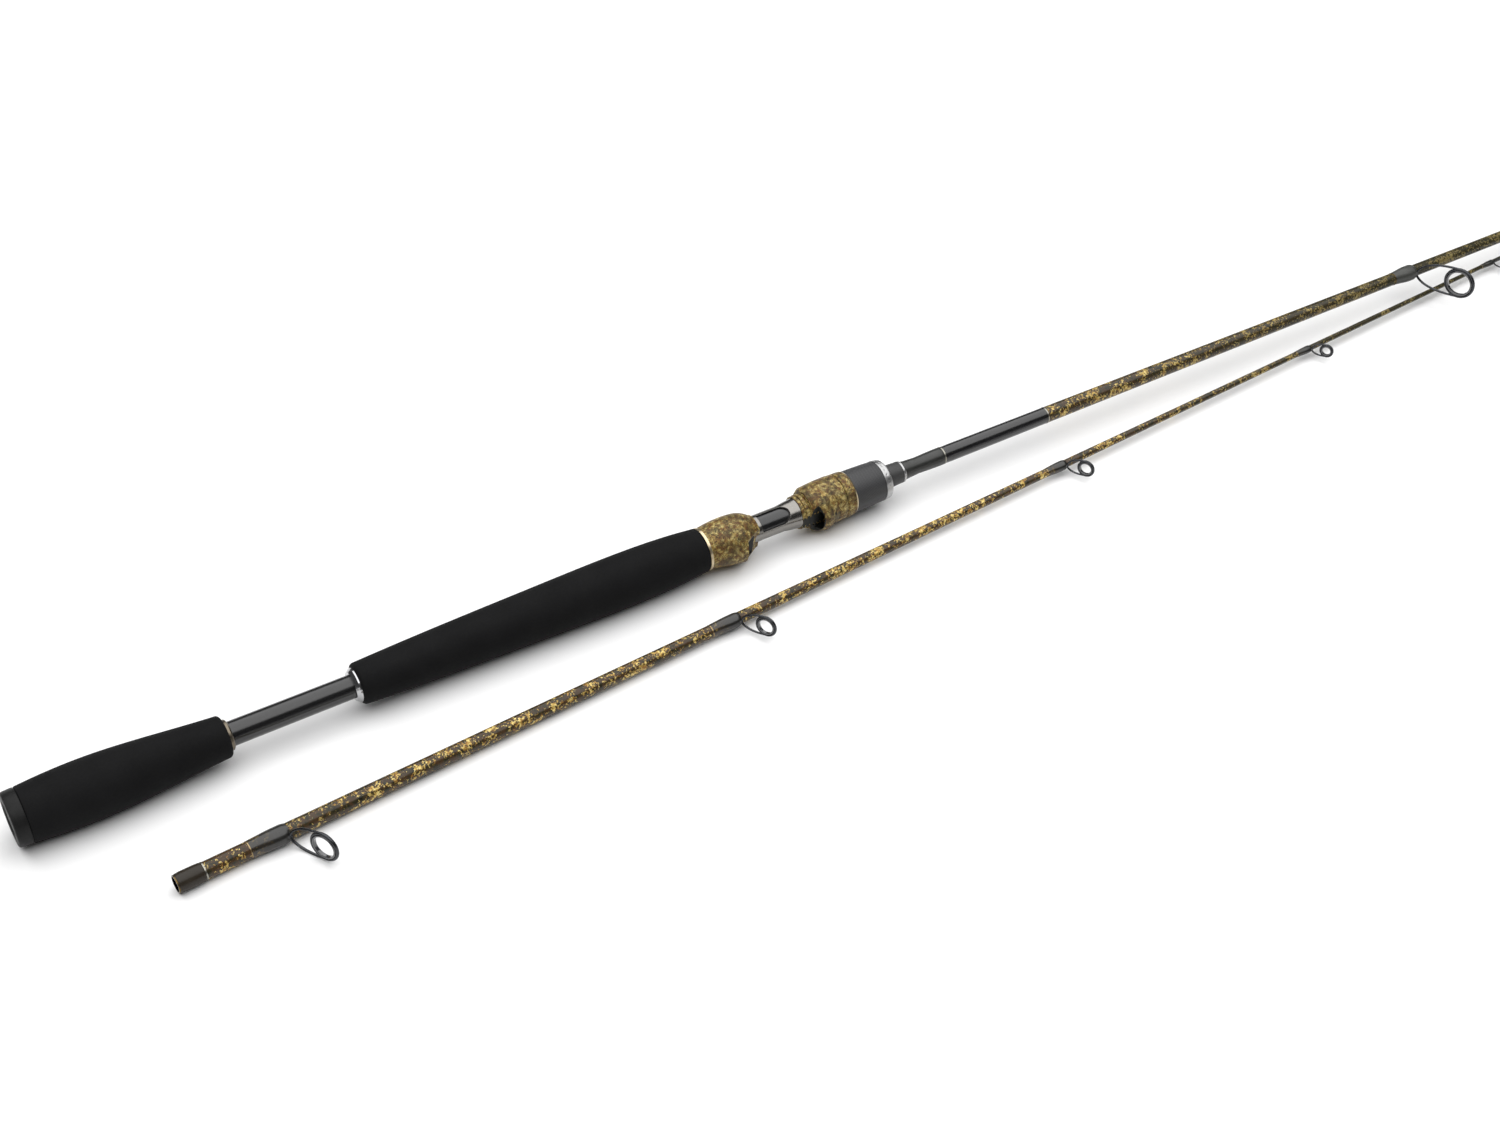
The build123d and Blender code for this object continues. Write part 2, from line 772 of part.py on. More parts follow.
ferrule_mouth_ring = band(TIP, TIP_SKIN, 0.0, 0.6, 0.12)
save(ferrule_mouth_ring, "ferrule_mouth_ring")
ferrule_wrap = thread_wrap(TIP, TIP_SKIN, 0.6, 14.0, 0.4)
save(ferrule_wrap, "ferrule_wrap")
ferrule_band = band(TIP, TIP_SKIN, 14.0, 0.7, 0.2)
save(ferrule_band, "ferrule_band")

for guide in TIP_GUIDES:
    frame = guide_frame(TIP, TIP_SKIN, tip_core, guide)
    save(frame, guide[0] + "_frame")
    ring = guide_ring(TIP, guide)
    save(ring, guide[0] + "_ring")
    wrap = guide_wrap(TIP, TIP_SKIN, tip_core, frame, guide)
    save(wrap, guide[0] + "_wrap")

with BuildPart() as tip_guide_bands:
    for guide in TIP_GUIDES:
        band_start = guide_base(guide, TIP_SKIN)[1] - guide[4] - 2.0
        trim = band(TIP, TIP_SKIN, band_start, 0.5, 0.1)
        add(trim.part)
save(tip_guide_bands, "tip_guide_bands")

# tip-top: a tube on the blank's end that carries the last ring
TUBE_START = TIP_LENGTH - 12.0
TUBE_END = TIP_LENGTH + 0.5
TUBE_RADIUS = 1.35
tip_top_tube = turned(
    TIP,
    [
        *seat_on(TIP_SKIN, TUBE_START, TIP_LENGTH),
        (TIP_LENGTH, 0),
        (TUBE_END, 0),
        (TUBE_END, TUBE_RADIUS),
        (TUBE_START, TUBE_RADIUS),
    ],
)
save(tip_top_tube, "tip_top_tube")

TUBE_SKIN = [(TUBE_START, TUBE_RADIUS), (TUBE_END, TUBE_RADIUS)]
TIP_TOP = ("tip_top", 6.6, TUBE_END + 1.6, 5.4, 4.0)
tube_core = turned(
    TIP,
    [(TUBE_START, 0), (TUBE_END, 0), (TUBE_END, TUBE_RADIUS), (TUBE_START, TUBE_RADIUS)],
)
tip_top_frame = guide_frame(TIP, TUBE_SKIN, tube_core, TIP_TOP)
save(tip_top_frame, "tip_top_frame")
tip_top_ring = guide_ring(TIP, TIP_TOP)
save(tip_top_ring, "tip_top_ring")
tip_top_wrap = thread_wrap(TIP, TIP_SKIN, TUBE_START - 7.0, TUBE_START, 0.3)
save(tip_top_wrap, "tip_top_wrap")
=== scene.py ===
"""Two-piece spinning rod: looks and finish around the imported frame. All lengths are metres."""
import math

import bmesh
import bpy
from mathutils import Matrix, Vector


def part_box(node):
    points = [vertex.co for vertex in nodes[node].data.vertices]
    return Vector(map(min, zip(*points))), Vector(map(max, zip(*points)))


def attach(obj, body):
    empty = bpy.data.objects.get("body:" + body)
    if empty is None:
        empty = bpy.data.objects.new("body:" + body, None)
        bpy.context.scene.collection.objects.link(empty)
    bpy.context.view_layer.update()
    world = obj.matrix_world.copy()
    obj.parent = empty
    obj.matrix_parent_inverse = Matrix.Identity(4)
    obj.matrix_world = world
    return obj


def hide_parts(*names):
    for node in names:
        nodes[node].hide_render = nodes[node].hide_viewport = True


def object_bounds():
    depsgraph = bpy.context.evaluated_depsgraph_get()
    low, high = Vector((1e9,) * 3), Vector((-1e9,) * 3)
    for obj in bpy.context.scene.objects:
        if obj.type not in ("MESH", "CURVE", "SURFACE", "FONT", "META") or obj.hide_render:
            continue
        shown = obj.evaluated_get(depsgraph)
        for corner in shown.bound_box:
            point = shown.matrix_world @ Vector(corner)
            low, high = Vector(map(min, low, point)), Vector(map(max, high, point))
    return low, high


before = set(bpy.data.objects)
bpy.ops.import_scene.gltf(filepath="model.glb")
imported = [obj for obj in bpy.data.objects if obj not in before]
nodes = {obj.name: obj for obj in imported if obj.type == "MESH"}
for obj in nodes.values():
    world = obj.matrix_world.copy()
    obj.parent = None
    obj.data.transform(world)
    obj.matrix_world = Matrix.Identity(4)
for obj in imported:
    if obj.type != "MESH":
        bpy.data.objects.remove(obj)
cad_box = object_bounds()

MM = 0.001
TIP_START = Vector((55.2, -69.5, -10.9)) * MM  # centre of the ferrule mouth
TIP_HEADING = math.radians(3.8)
TIP_GUIDE_SIDE = math.radians(10.0)
BUTT_GUIDE_SIDE = math.radians(8.0)
SEAT_SIDE = math.radians(-10.0)
GUIDE_LEAN = math.radians(25.0)
STRIPPER_LEAN = math.radians(19.0)

# reel seat, in metres: heights are from the axis, towards the foot's side
# the bed, pocket and mouth sizes below also bound the painted shade in the hoods
BED = 8.8 * MM  # flat bed that the reel foot lies on
POCKET_HALF_WIDTH = 6.7 * MM
POCKET_REACH = 14.25 * MM  # no pocket wall is further from the axis, and every outside over them is
REAR_LINING_END = 403.0 * MM
FRONT_LINING_START = 457.05 * MM
BARREL_START = 447.0 * MM  # where the barrel's bed begins, behind the sliding hood
HOOD_MOUTH = 451.6 * MM  # where the sliding hood's mouth rises from the bed
MOUTH_LEAN = 0.382  # how far the mouth leans forwards for each unit that it rises
THREAD_PITCH = 2.0 * MM

# outer radius of each blank along its section, in millimetres
BUTT_SKIN = [
    (7, 6.5), (115, 6.5), (383, 5.75), (514.8, 4.9), (525, 4.45), (533, 4.75),
    (548, 5.12), (810, 4.2), (970, 3.75), (1182, 3.48), (1257, 3.48),
]
TIP_SKIN = [(0, 4.55), (60, 4.43), (300, 3.55), (600, 2.2), (900, 1.38), (1252, 0.8)]

# outside of each guide's hoop, length of its foot and thickness of its wrap, in millimetres
GUIDES = {
    "stripper": (20.4, 17.0, 1.05),
    "tip_guide_1": (16.9, 19.0, 0.55),
    "tip_guide_2": (12.6, 17.0, 0.5),
    "tip_guide_3": (10.6, 13.0, 0.5),
    "tip_guide_4": (8.9, 11.0, 0.45),
    "tip_guide_5": (7.6, 10.0, 0.4),
    "tip_guide_6": (6.4, 9.0, 0.35),
    "tip_guide_7": (6.4, 9.0, 0.35),
}


# ---------------------------------------------------------------- the two sections' lines
class Line:
    """A rod section's axis: x runs along it, y points to its guides' side."""

    def __init__(self, start, heading, rise):
        self.start = Vector(start)
        self.x = Vector((math.cos(heading), math.sin(heading), 0))
        side = Vector((math.sin(heading), -math.cos(heading), 0))
        self.y = side * math.cos(rise) + Vector((0, 0, math.sin(rise)))
        self.z = self.x.cross(self.y)

    def at(self, x, y=0.0, z=0.0):
        return self.start + self.x * x + self.y * y + self.z * z

    def around(self, x, radius, angle):
        return self.at(x, radius * math.cos(angle), radius * math.sin(angle))

    def local(self, point):
        offset = Vector(point) - self.start
        return Vector((offset.dot(self.x), offset.dot(self.y), offset.dot(self.z)))


BUTT = Line((0, 0, 0), 0, BUTT_GUIDE_SIDE)
SEAT = Line((0, 0, 0), 0, SEAT_SIDE)
TIP = Line(TIP_START, TIP_HEADING, TIP_GUIDE_SIDE)


def span(line, node):
    """Where a node starts and ends along its section."""
    low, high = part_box(node)
    if line is not TIP:
        return low[0], high[0]
    points = [v.co for v in nodes[node].data.vertices]
    along = [line.local(p).x for p in points]
    return min(along), max(along)


def middle(node):
    low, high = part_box(node)
    return (Vector(low) + Vector(high)) / 2


# ---------------------------------------------------------------- node helpers
class Shader:
    """A node material with a few short ways to add and join nodes."""

    def __init__(self, name):
        self.material = bpy.data.materials.new(name)
        self.material.use_nodes = True
        self.tree = self.material.node_tree
        self.tree.nodes.clear()
        self.output = self.tree.nodes.new("ShaderNodeOutputMaterial")
        self.bsdf = self.tree.nodes.new("ShaderNodeBsdfPrincipled")
        self.join(self.bsdf.outputs["BSDF"], self.output.inputs["Surface"])
        self.place = self.tree.nodes.new("ShaderNodeTexCoord").outputs["Object"]

    def join(self, a, b):
        self.tree.links.new(a, b)

    def put(self, socket, value):
        if isinstance(value, bpy.types.NodeSocket):
            self.join(value, socket)
        else:
            socket.default_value = value

    def set(self, **values):
        for name, value in values.items():
            self.put(self.bsdf.inputs[name.replace("_", " ")], value)
        return self

    def math(self, kind, a, b=0.0, clamp=False):
        node = self.tree.nodes.new("ShaderNodeMath")
        node.operation = kind
        node.use_clamp = clamp
        self.put(node.inputs[0], a)
        self.put(node.inputs[1], b)
        return node.outputs[0]

    def scaled(self, factors):
        """The object's coordinates times a factor on each axis."""
        node = self.tree.nodes.new("ShaderNodeMapping")
        self.join(self.place, node.inputs["Vector"])
        node.inputs["Scale"].default_value = factors
        return node.outputs["Vector"]

    def noise(self, scale, detail=2.0, roughness=0.5, distortion=0.0, stretch=None, shift=0.0):
        node = self.tree.nodes.new("ShaderNodeTexNoise")
        where = self.scaled(stretch) if stretch else self.place
        if shift:
            mapping = self.tree.nodes.new("ShaderNodeMapping")
            self.join(where, mapping.inputs["Vector"])
            mapping.inputs["Location"].default_value = (shift, shift, shift)
            where = mapping.outputs["Vector"]
        self.join(where, node.inputs["Vector"])
        node.inputs["Scale"].default_value = scale
        node.inputs["Detail"].default_value = detail
        node.inputs["Roughness"].default_value = roughness
        node.inputs["Distortion"].default_value = distortion
        return node.outputs["Fac"]

    def cells(self, scale):
        node = self.tree.nodes.new("ShaderNodeTexVoronoi")
        self.join(self.place, node.inputs["Vector"])
        node.inputs["Scale"].default_value = scale
        return node.outputs["Distance"]

    def ramp(self, value, *stops):
        node = self.tree.nodes.new("ShaderNodeValToRGB")
        self.join(value, node.inputs["Fac"])
        elements = node.color_ramp.elements
        while len(elements) < len(stops):
            elements.new(0.5)
        for element, (position, colour) in zip(elements, stops):
            element.position = position
            shade = colour if isinstance(colour, tuple) else (colour, colour, colour)
            element.color = (*shade, 1)
        return node.outputs["Color"]

    def mix(self, factor, a, b):
        node = self.tree.nodes.new("ShaderNodeMix")
        node.data_type = "RGBA"
        self.put(node.inputs["Factor"], factor)
        for socket, value in ((node.inputs["A"], a), (node.inputs["B"], b)):
            self.put(socket, (*value, 1) if isinstance(value, tuple) else value)
        return node.outputs["Result"]

    def bump(self, height, depth, strength=1.0):
        node = self.tree.nodes.new("ShaderNodeBump")
        node.inputs["Strength"].default_value = strength
        node.inputs["Distance"].default_value = depth
        self.join(height, node.inputs["Height"])
        self.join(node.outputs["Normal"], self.bsdf.inputs["Normal"])
        return self

    def toward(self, direction):
        """How far a point lies in a direction from the origin."""
        node = self.tree.nodes.new("ShaderNodeVectorMath")
        node.operation = "DOT_PRODUCT"
        self.join(self.place, node.inputs[0])
        node.inputs[1].default_value = direction
        return node.outputs["Value"]

    def along(self, line):
        """Distance along a section's axis."""
        return self.toward(line.x)

    def off_axis(self, line):
        """Distance from a section's axis."""
        from_start = self.tree.nodes.new("ShaderNodeVectorMath")
        from_start.operation = "SUBTRACT"
        self.join(self.place, from_start.inputs[0])
        from_start.inputs[1].default_value = line.start
        across = self.tree.nodes.new("ShaderNodeVectorMath")
        across.operation = "CROSS_PRODUCT"
        self.join(from_start.outputs["Vector"], across.inputs[0])
        across.inputs[1].default_value = line.x
        length = self.tree.nodes.new("ShaderNodeVectorMath")
        length.operation = "LENGTH"
        self.join(across.outputs["Vector"], length.inputs[0])
        return length.outputs["Value"]

    def waves(self, value, pitch):
        """0 to 1 and back over each pitch."""
        turn = self.math("MULTIPLY", value, 2 * math.pi / pitch)
        half = self.math("MULTIPLY", self.math("SINE", turn), 0.5)
        return self.math("ADD", half, 0.5)


# ---------------------------------------------------------------- materials
def eva_foam():
    s = Shader("eva_foam")
    pores = s.cells(2600)
    grain = s.noise(900, 4, 0.6)
    shade = s.ramp(
        s.noise(60, 3),
        (0.3, (0.0052, 0.0052, 0.0055)),
        (0.75, (0.0078, 0.0078, 0.0082)),
    )
    s.set(Base_Color=shade, Roughness=s.ramp(grain, (0.3, 0.7), (0.7, 0.82)))
    s.set(Specular_IOR_Level=0.1)
    return s.bump(s.math("ADD", pores, grain), 0.00006, 0.5).material


def moulded_plastic(name, dark, light, specular):
    """Fine-grained black or grey plastic."""
    s = Shader(name)
    grain = s.noise(1800, 3, 0.6)
    s.set(
        Base_Color=s.ramp(grain, (0.3, dark), (0.7, light)),
        Roughness=s.ramp(s.noise(240, 3), (0.3, 0.42), (0.7, 0.54)),
        Specular_IOR_Level=specular,
    )
    return s.bump(grain, 0.00003, 0.4).material


GRAPHITE_DARK = (0.003, 0.003, 0.0033)
GRAPHITE_LIGHT = (0.010, 0.010, 0.0105)
EARTH = (
    (0.30, (0.009, 0.008, 0.005)),
    (0.43, (0.034, 0.028, 0.012)),
    (0.52, (0.062, 0.031, 0.014)),
    (0.60, (0.026, 0.024, 0.010)),
    (0.70, (0.010, 0.009, 0.006)),
)


def thin_lines(s, scale, width, shift):
    """1 along the middle level of a warped noise, so that it draws short curls."""
    curls = s.noise(scale, 3, 0.6, 1.5, shift=shift)
    off_centre = s.math("ABSOLUTE", s.math("SUBTRACT", curls, 0.5))
    return s.ramp(off_centre, (width, 1.0), (width * 2, 0.0))


def camo_print(s):
    """Earth tones under gold curls. Returns (colour, gold mask)."""
    ground = s.ramp(s.noise(330, 4, 0.65, 0.5), *EARTH)
    gaps = s.ramp(s.noise(210, 3, 0.6, 0.4, shift=9.1), (0.40, 0.25), (0.56, 1.0))
    curls = s.math("MAXIMUM", thin_lines(s, 700, 0.022, 3.7), thin_lines(s, 930, 0.017, 6.1))
    gold = s.math("MULTIPLY", curls, gaps, clamp=True)
    tint = s.ramp(
        s.noise(420, 2, 0.5, shift=5.3),
        (0.38, (0.20, 0.095, 0.026)),
        (0.50, (0.42, 0.29, 0.080)),
        (0.64, (0.66, 0.53, 0.20)),
    )
    return s.mix(gold, ground, tint), gold


def within(s, value, low, high):
    """1 where value lies between low and high."""
    return s.math("MULTIPLY", s.math("GREATER_THAN", value, low), s.math("LESS_THAN", value, high))


def painted_pocket_shade(s):
    """1 where painted shade darkens the inside of the hoods' pockets, the bed and the sliding hood's
    mouth.
    """
    along = s.along(SEAT)
    up = s.toward(SEAT.y)
    aside = s.math("ABSOLUTE", s.toward(SEAT.z))
    deep = s.math("LESS_THAN", s.off_axis(SEAT), POCKET_REACH)
    above_bed = s.math("GREATER_THAN", up, BED - 0.05 * MM)
    between_sides = s.math("LESS_THAN", aside, POCKET_HALF_WIDTH + 0.03 * MM)
    walls = s.math("MULTIPLY", between_sides, above_bed)
    walls = s.math("MULTIPLY", walls, within(s, along, REAR_LINING_END, FRONT_LINING_START))
    leaning = s.math("MULTIPLY", s.math("SUBTRACT", up, BED), MOUTH_LEAN)
    past_mouth = s.math("SUBTRACT", s.math("SUBTRACT", along, leaning), HOOD_MOUTH)
    on_mouth = s.math("LESS_THAN", past_mouth, 0.13 * MM)
    mouth = s.math("MULTIPLY", on_mouth, s.math("GREATER_THAN", up, BED + 0.1 * MM))
    bed = within(s, up, BED - 0.08 * MM, BED + 0.08 * MM)
    front = s.math("MAXIMUM", mouth, bed)
    front = s.math("MULTIPLY", front, within(s, along, BARREL_START, FRONT_LINING_START))
    return s.math("MAXIMUM", s.math("MULTIPLY", walls, deep), front)


def camo_seat(name, pocket_shade=False):
    """Moulded seat parts with a camouflage film under satin varnish, and, where asked, painted shade
    over the hoods' pockets, the bed and the sliding hood's mouth.
    """
    s = Shader(name)
    colour, gold = camo_print(s)
    if pocket_shade:
        # painted shade: near-black in place of the camouflage, without gold curls, where the pockets,
        # the bed and the mouth lie in shadow
        painted_shade = painted_pocket_shade(s)
        colour = s.mix(painted_shade, colour, (0.006, 0.0065, 0.005))
        gold = s.math("MULTIPLY", gold, s.math("SUBTRACT", 1.0, painted_shade))
    s.set(
        Base_Color=colour,
        Metallic=s.math("MULTIPLY", gold, 0.2),
        Roughness=s.ramp(gold, (0.0, 0.5), (1.0, 0.4)),
        Specular_IOR_Level=0.2,
        Coat_Weight=0.06,
        Coat_Roughness=0.25,
    )
    return s.bump(gold, 0.00002, 0.3).material


def flake_print(s, line):
    """Gold flakes in clusters over dark brown, duller and more olive towards the tip.

    Returns (colour, gold mask)."""
    ground = s.ramp(s.noise(230, 4, 0.62, 0.5), *EARTH)
    flakes = s.noise(760, 5, 0.7, 0.2, shift=2.3)
    clusters = s.noise(140, 2, 0.55, 0.4, shift=7.9)
    lean = s.math("MULTIPLY", s.math("SUBTRACT", clusters, 0.5), 0.6)
    sparse = 0.56 if line is TIP else 0.548
    gold = s.ramp(s.math("ADD", flakes, lean), (sparse, 0.0), (sparse + 0.022, 1.0))
    tint = s.ramp(
        s.noise(640, 2, 0.5, shift=5.3),
        (0.36, (0.26, 0.125, 0.024)),
        (0.5, (0.50, 0.34, 0.085)),
        (0.64, (0.76, 0.60, 0.22)),
    )
    tipwards = s.math("DIVIDE", s.math("SUBTRACT", s.along(line), 0.6), 0.3, clamp=True)
    dulled = s.math("MULTIPLY", tipwards, 0.85)
    ground = s.mix(dulled, ground, (0.026, 0.025, 0.012))
    tint = s.mix(dulled, tint, (0.135, 0.112, 0.046))
    return s.mix(gold, ground, tint), gold


def blank_finish(name, line, plain_until=None, bore=None):
    """Varnished blank: flakes under varnish, plain graphite behind plain_until, and a black bore."""
    s = Shader(name)
    colour, gold = flake_print(s, line)
    fibres = s.noise(2400, 4, 0.65, 0.4, stretch=(0.05, 1, 1))
    plain = s.ramp(fibres, (0.35, GRAPHITE_DARK), (0.7, GRAPHITE_LIGHT))
    if plain_until is not None:
        past = s.math("GREATER_THAN", s.along(line), plain_until)
        colour = s.mix(past, plain, colour)
        gold = s.math("MULTIPLY", gold, past)
    shine, varnish = 0.26, 0.10
    if plain_until is not None:
        shine = s.math("SUBTRACT", 0.5, s.math("MULTIPLY", past, 0.24))
        varnish = s.math("SUBTRACT", 0.3, s.math("MULTIPLY", past, 0.2))
    if bore is not None:
        outside = s.math("GREATER_THAN", s.off_axis(line), bore)
        past_mouth = s.math("GREATER_THAN", s.along(line), line.start.dot(line.x) + 0.1)
        outside = s.math("MAXIMUM", outside, past_mouth)
        colour = s.mix(outside, (0.001, 0.001, 0.001), colour)
        gold = s.math("MULTIPLY", gold, outside)
        shine = s.math("MULTIPLY", outside, shine)
        varnish = s.math("MULTIPLY", outside, varnish)
    s.set(
        Base_Color=colour,
        Metallic=s.math("MULTIPLY", gold, 0.3),
        Roughness=s.ramp(gold, (0.0, 0.24), (1.0, 0.36)),
        Specular_IOR_Level=shine,
        Coat_Weight=varnish,
        Coat_Roughness=0.2,
    )
    return s.bump(s.waves(s.along(line), 0.0017), 0.000003, 0.3).material


def metal(name, colour, roughness, brushed=0.12, metallic=1.0, edge=0.0):
    """A metal with fine turning marks round the rod's axis. edge rounds its sharp edges off."""
    s = Shader(name)
    marks = s.noise(2200, 3, 0.6, stretch=(1, 0.12, 0.12))
    dull = tuple(c * (1 - brushed) for c in colour)
    s.set(
        Base_Color=s.ramp(marks, (0.35, dull), (0.65, colour)),
        Metallic=metallic,
        Roughness=s.ramp(marks, (0.3, roughness), (0.7, roughness + brushed)),
    )
    s.bump(marks, 0.000003, 0.2)
    if edge:
        rounded = s.tree.nodes.new("ShaderNodeBevel")
        rounded.samples = 6
        rounded.inputs["Radius"].default_value = edge
        bump = s.bsdf.inputs["Normal"].links[0].from_node
        s.join(rounded.outputs["Normal"], bump.inputs["Normal"])
    return s.material


def wrap_finish(
    name, line, colour=(0.015, 0.015, 0.0165), start=None, end=None, matt=0.0, shine=0.5
):
    """Fine dark winding thread under clear varnish.

    From start towards end the thread thins out, and the flakes on the blank show through."""
    s = Shader(name)
    threads = s.waves(s.along(line), 0.00026)
    flow = s.noise(180, 3, 0.5)
    dark = tuple(c * 0.45 for c in colour)
    shade = s.mix(s.math("MULTIPLY", threads, flow), dark, colour)
    if start is not None:
        flakes, gold = flake_print(s, line)
        muted = s.mix(0.72, flakes, (0.010, 0.008, 0.005))
        base = line.start.dot(line.x)
        ahead = s.math("SUBTRACT", s.along(line), base + start)
        covered = s.math("DIVIDE", ahead, 0.62 * (end - start), clamp=True)
        shade = s.mix(s.ramp(covered, (0.2, 0.1), (0.95, 1.0)), muted, shade)
    s.set(
        Base_Color=shade,
        Roughness=s.ramp(flow, (0.3, 0.26 + matt), (0.7, 0.36 + matt)),
        Specular_IOR_Level=shine,
        Coat_Weight=0.35 * shine,
        Coat_Roughness=0.12 + matt,
    )
    return s.bump(threads, 0.000005, 0.25).material


def woven(name, radius, pitch):
    """Fine diagonal twill wrapped round the rod's axis."""
    s = Shader(name)
    split = s.tree.nodes.new("ShaderNodeSeparateXYZ")
    s.join(s.place, split.inputs[0])
    angle = s.math("ARCTAN2", split.outputs["Y"], split.outputs["Z"])
    round_it = s.math("MULTIPLY", angle, radius)
    one = s.waves(s.math("ADD", split.outputs["X"], round_it), pitch)
    other = s.waves(s.math("SUBTRACT", split.outputs["X"], round_it), pitch)
    twill = s.math("MULTIPLY", one, other)
    s.set(
        Base_Color=s.ramp(twill, (0.1, (0.022, 0.022, 0.023)), (0.7, (0.060, 0.060, 0.063))),
        Roughness=s.ramp(twill, (0.1, 0.55), (0.8, 0.4)),
        Specular_IOR_Level=0.45,
    )
    return s.bump(twill, 0.00002, 0.5).material


def ceramic():
    s = Shader("ceramic_ring")
    cloud = s.noise(500, 3)
    s.set(
        Base_Color=s.ramp(cloud, (0.3, (0.022, 0.023, 0.026)), (0.7, (0.034, 0.035, 0.038))),
        Roughness=s.ramp(cloud, (0.3, 0.10), (0.7, 0.17)),
        Specular_IOR_Level=0.9,
        Coat_Weight=0.5,
        Coat_Roughness=0.05,
    )
    return s.material


EVA = eva_foam()
CAP = moulded_plastic("cap_plastic", 0.005, 0.009, 0.18)
COLLAR = moulded_plastic("collar_plastic", 0.030, 0.042, 0.4)
BUTT_BLANK = blank_finish("butt_blank_finish", BUTT, plain_until=span(BUTT, "blank_band")[1])
TIP_BLANK = blank_finish("tip_blank_finish", TIP, bore=4.0 * MM)
CAMO_SEAT = camo_seat("camo_seat")
# camouflage with painted shade in the hoods' pockets, on the bed and on the sliding hood's mouth
CAMO_WITH_POCKET_SHADE = camo_seat("camo_with_pocket_shade", pocket_shade=True)
GUNMETAL = metal("gunmetal", (0.23, 0.22, 0.205), 0.22, 0.06, edge=0.00045)
DARK_STEEL = metal("dark_steel", (0.050, 0.052, 0.056), 0.22, 0.06, metallic=0.85)
CHROME = metal("chrome_cup", (0.46, 0.46, 0.47), 0.14, 0.05)
SILVER = metal("satin_silver", (0.44, 0.44, 0.44), 0.28, 0.12)
GREY_GOLD = metal("grey_gold", (0.17, 0.145, 0.11), 0.28, 0.12)
GOLD = metal("gold_trim", (0.60, 0.50, 0.33), 0.26, 0.1)
BAND_GOLD = metal("band_gold", (0.34, 0.25, 0.13), 0.26, 0.1)
OLD_GOLD = metal("old_gold", (0.13, 0.085, 0.028), 0.3, 0.1)
PALE_TRIM = metal("pale_trim", (0.32, 0.31, 0.27), 0.26, 0.1)
SEAT_THREAD = wrap_finish("seat_wrap_thread", BUTT, (0.021, 0.022, 0.019), matt=0.1)
FERRULE_THREAD = wrap_finish("ferrule_thread", TIP, (0.034, 0.025, 0.015), matt=0.08, shine=0.25)
TIP_THREAD = wrap_finish("tip_wrap_thread", TIP)
NUT_WEAVE = woven("nut_weave", 0.012, 0.0011)
CERAMIC = ceramic()
PALE_THREAD = (0.062, 0.064, 0.056)
DARK_THREAD = (0.019, 0.018, 0.015)


def paint(material, *names):
    for name in names:
        data = nodes[name].data
        data.materials.clear()
        data.materials.append(material)


paint(EVA, "rear_grip", "fore_grip")
paint(CAP, "butt_cap", "front_arbor", "nut_core")
paint(COLLAR, "front_collar")
paint(CAP, "rear_hood_cushion", "sliding_hood_cushion")
paint(BUTT_BLANK, "butt_blank", "seat_sleeve")
paint(TIP_BLANK, "tip_blank")
paint(CAMO_WITH_POCKET_SHADE, "rear_hood", "sliding_hood")
paint(CAMO_SEAT, "nut_collar")
paint(GUNMETAL, "seat_frame")
paint(CHROME, "fore_grip_check")
paint(SILVER, "winding_check")
paint(GREY_GOLD, "rear_grip_check")
paint(GOLD, "seat_rear_ring", "nut_trim_ring")
paint(BAND_GOLD, "tip_guide_bands")
paint(OLD_GOLD, "ferrule_mouth_ring", "stripper_band")
paint(PALE_TRIM, "seat_wrap_band", "blank_band", "ferrule_band")
paint(TIP_THREAD, "tip_top_wrap")
paint(DARK_STEEL, "tip_top_tube", "tip_top_frame")
paint(CERAMIC, "tip_top_ring", *(name + "_ring" for name in GUIDES))


# ---------------------------------------------------------------- mesh helpers
def add_piece(name, vertices, faces, material, body, finish, *replaced, sharp=35.0):
    """A mesh piece on a body, in place of CAD nodes, with its shells' faces turned outwards."""
    mesh = bpy.data.meshes.new(name)
    mesh.from_pydata(vertices, [], faces)
    shape = bmesh.new()
    shape.from_mesh(mesh)
    bmesh.ops.remove_doubles(shape, verts=shape.verts, dist=1e-7)
    bmesh.ops.recalc_face_normals(shape, faces=shape.faces)
    shape.to_mesh(mesh)
    shape.free()
    mesh.shade_smooth()
    mesh.set_sharp_from_angle(angle=math.radians(sharp))
    mesh.materials.append(material)
    piece = bpy.data.objects.new(name, mesh)
    bpy.context.collection.objects.link(piece)
    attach(piece, body)
    if replaced:
        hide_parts(*replaced)
    return piece


def turned(line, outline, segments, shape=None):
    """A closed outline of (x, radius) points turned round an axis. shape changes the radius."""
    vertices, faces = [], []
    for index, (x, radius) in enumerate(outline):
        for step in range(segments):
            angle = 2 * math.pi * step / segments
            local = shape(x, radius, angle, index) if shape else radius
            vertices.append(line.around(x, local, angle))
    rings = len(outline)
    for ring in range(rings):
        after = (ring + 1) % rings
        for step in range(segments):
            beside = (step + 1) % segments
            faces.append((ring * segments + step, ring * segments + beside,
                          after * segments + beside, after * segments + step))
    return vertices, faces


